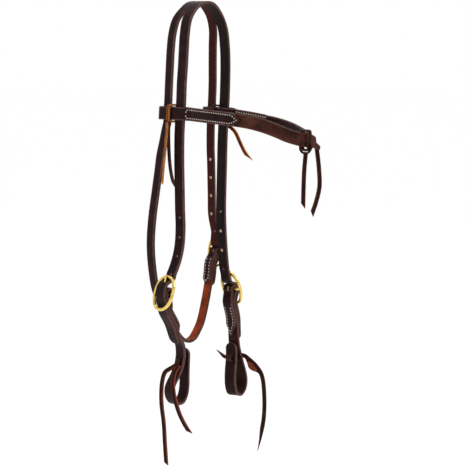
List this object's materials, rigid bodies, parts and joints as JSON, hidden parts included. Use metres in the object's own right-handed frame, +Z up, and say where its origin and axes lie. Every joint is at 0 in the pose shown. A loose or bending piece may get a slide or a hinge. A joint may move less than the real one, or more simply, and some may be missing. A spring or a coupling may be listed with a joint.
{
  "type": "western headstall",
  "caption": "Split-crown leather headstall with knotted browband, throatlatch, centre-bar buckles and thong-tied bit ends.",
  "frame": {"origin": "on the underside of the crown strap at its highest point, midway between its front and rear edges", "axes": "+Z up, +X towards the horse's nose, +Y towards the horse's left"},
  "size_m": [0.2258, 0.1519, 0.5975],
  "materials": {
    "strap": "oiled, dark brown",
    "thong": "oiled cut lace",
    "brass": "polished solid brass",
    "thread": "waxed thread"
  },
  "bodies": {
    "headstall": {"crown_strap": "strap", "throat_strap": "strap", "throat_stitches": "thread"},
    "browband": {"browband_right_half": "strap", "browband_left_half": "strap", "browband_right_outer_stitches": "thread", "browband_right_inner_stitches": "thread", "browband_left_outer_stitches": "thread", "browband_left_inner_stitches": "thread", "brow_knot_wrap": "thong", "brow_knot_loop": "thong", "right_ear_thong": "thong", "left_ear_thong": "thong"},
    "knot_tail_right": {"knot_tail_right": "thong"},
    "knot_tail_left": {"knot_tail_left": "thong"},
    "right_ear_outer_end": {"right_ear_thong_outer_end": "thong"},
    "right_ear_inner_end": {"right_ear_thong_inner_end": "thong"},
    "left_ear_end": {"left_ear_thong_end": "thong"},
    "throat_buckle": {"throat_buckle_frame": "brass"},
    "throat_tongue": {"throat_buckle_tongue": "brass"},
    "right_buckle": {"right_cheek_buckle_frame": "brass"},
    "right_tongue": {"right_cheek_buckle_tongue": "brass"},
    "right_cheek": {"right_cheek_strap": "strap", "right_cheek_stitches": "thread", "right_bit_thong": "thong"},
    "left_buckle": {"left_cheek_buckle_frame": "brass"},
    "left_tongue": {"left_cheek_buckle_tongue": "brass"},
    "left_cheek": {"left_cheek_strap": "strap", "left_cheek_stitches": "thread", "left_bit_thong": "thong"},
    "right_bit_front_end": {"right_bit_thong_front_end": "thong"},
    "right_bit_rear_end": {"right_bit_thong_rear_end": "thong"},
    "left_bit_long_end": {"left_bit_thong_long_end": "thong"},
    "left_bit_short_end": {"left_bit_thong_short_end": "thong"}
  },
  "joints": [
    {"name": "browband_lift", "type": "hinge", "parent": "headstall", "child": "browband", "pos_m": [-0.005, 0, -0.1403], "axis": [0, -1, 0], "range_deg": [0, 3]},
    {"name": "right_buckle_rock", "type": "hinge", "parent": "headstall", "child": "right_buckle", "pos_m": [0.0064, -0.07045, -0.36685], "axis": [1, 0, 0], "range_deg": [-2, 1]},
    {"name": "right_tongue_lift", "type": "hinge", "parent": "right_buckle", "child": "right_tongue", "pos_m": [0.0064, -0.07045, -0.36685], "axis": [1, 0, 0], "range_deg": [0, 8]},
    {"name": "right_cheek_swing", "type": "hinge", "parent": "headstall", "child": "right_cheek", "pos_m": [0.0064, -0.07045, -0.36685], "axis": [1, 0, 0], "range_deg": [0, 10]},
    {"name": "left_buckle_rock", "type": "hinge", "parent": "headstall", "child": "left_buckle", "pos_m": [0.0064, 0.04642, -0.37177], "axis": [-1, 0, 0], "range_deg": [-2, 1]},
    {"name": "left_tongue_lift", "type": "hinge", "parent": "left_buckle", "child": "left_tongue", "pos_m": [0.0064, 0.04642, -0.37177], "axis": [-1, 0, 0], "range_deg": [0, 8]},
    {"name": "left_cheek_swing", "type": "hinge", "parent": "headstall", "child": "left_cheek", "pos_m": [0.0064, 0.04642, -0.37177], "axis": [-1, 0, 0], "range_deg": [0, 10]},
    {"name": "throat_buckle_rock", "type": "hinge", "parent": "headstall", "child": "throat_buckle", "pos_m": [-0.0145, 0.03921, -0.32379], "axis": [-1, 0, 0], "range_deg": [-2, 1]},
    {"name": "throat_tongue_lift", "type": "hinge", "parent": "throat_buckle", "child": "throat_tongue", "pos_m": [-0.0145, 0.03921, -0.32379], "axis": [-1, 0, 0], "range_deg": [0, 8]},
    {"name": "right_bit_front_swing", "type": "hinge", "parent": "right_cheek", "child": "right_bit_front_end", "pos_m": [0.00992, -0.05124, -0.46288], "axis": [-1, 0, 0], "range_deg": [0, 25]},
    {"name": "right_bit_rear_swing", "type": "hinge", "parent": "right_cheek", "child": "right_bit_rear_end", "pos_m": [0.00288, -0.05124, -0.46288], "axis": [-1, 0, 0], "range_deg": [0, 25]},
    {"name": "left_bit_long_lift", "type": "hinge", "parent": "left_cheek", "child": "left_bit_long_end", "pos_m": [0.0103, 0.06419, -0.46233], "axis": [0, -1, 0], "range_deg": [0, 20]},
    {"name": "left_bit_short_lift", "type": "hinge", "parent": "left_cheek", "child": "left_bit_short_end", "pos_m": [0.0025, 0.04478, -0.46422], "axis": [0, 1, 0], "range_deg": [0, 6]},
    {"name": "right_ear_outer_swing", "type": "hinge", "parent": "browband", "child": "right_ear_outer_end", "pos_m": [-0.006, -0.05492, -0.15027], "axis": [-1, 0, 0], "range_deg": [0, 20]},
    {"name": "right_ear_inner_swing", "type": "hinge", "parent": "browband", "child": "right_ear_inner_end", "pos_m": [-0.006, -0.05152, -0.15027], "axis": [1, 0, 0], "range_deg": [0, 12]},
    {"name": "left_ear_lift", "type": "hinge", "parent": "browband", "child": "left_ear_end", "pos_m": [-0.00416, 0.04245, -0.15606], "axis": [0, -1, 0], "range_deg": [0, 12]},
    {"name": "tail_right_swing", "type": "hinge", "parent": "browband", "child": "knot_tail_right", "pos_m": [0.19203, -0.0086, -0.18369], "axis": [0.8, 0.6, 0], "range_deg": [-20, 20]},
    {"name": "tail_left_swing", "type": "hinge", "parent": "browband", "child": "knot_tail_left", "pos_m": [0.18473, 0.02022, -0.18239], "axis": [0.6, 0.8, 0], "range_deg": [-20, 20]}
  ]
}
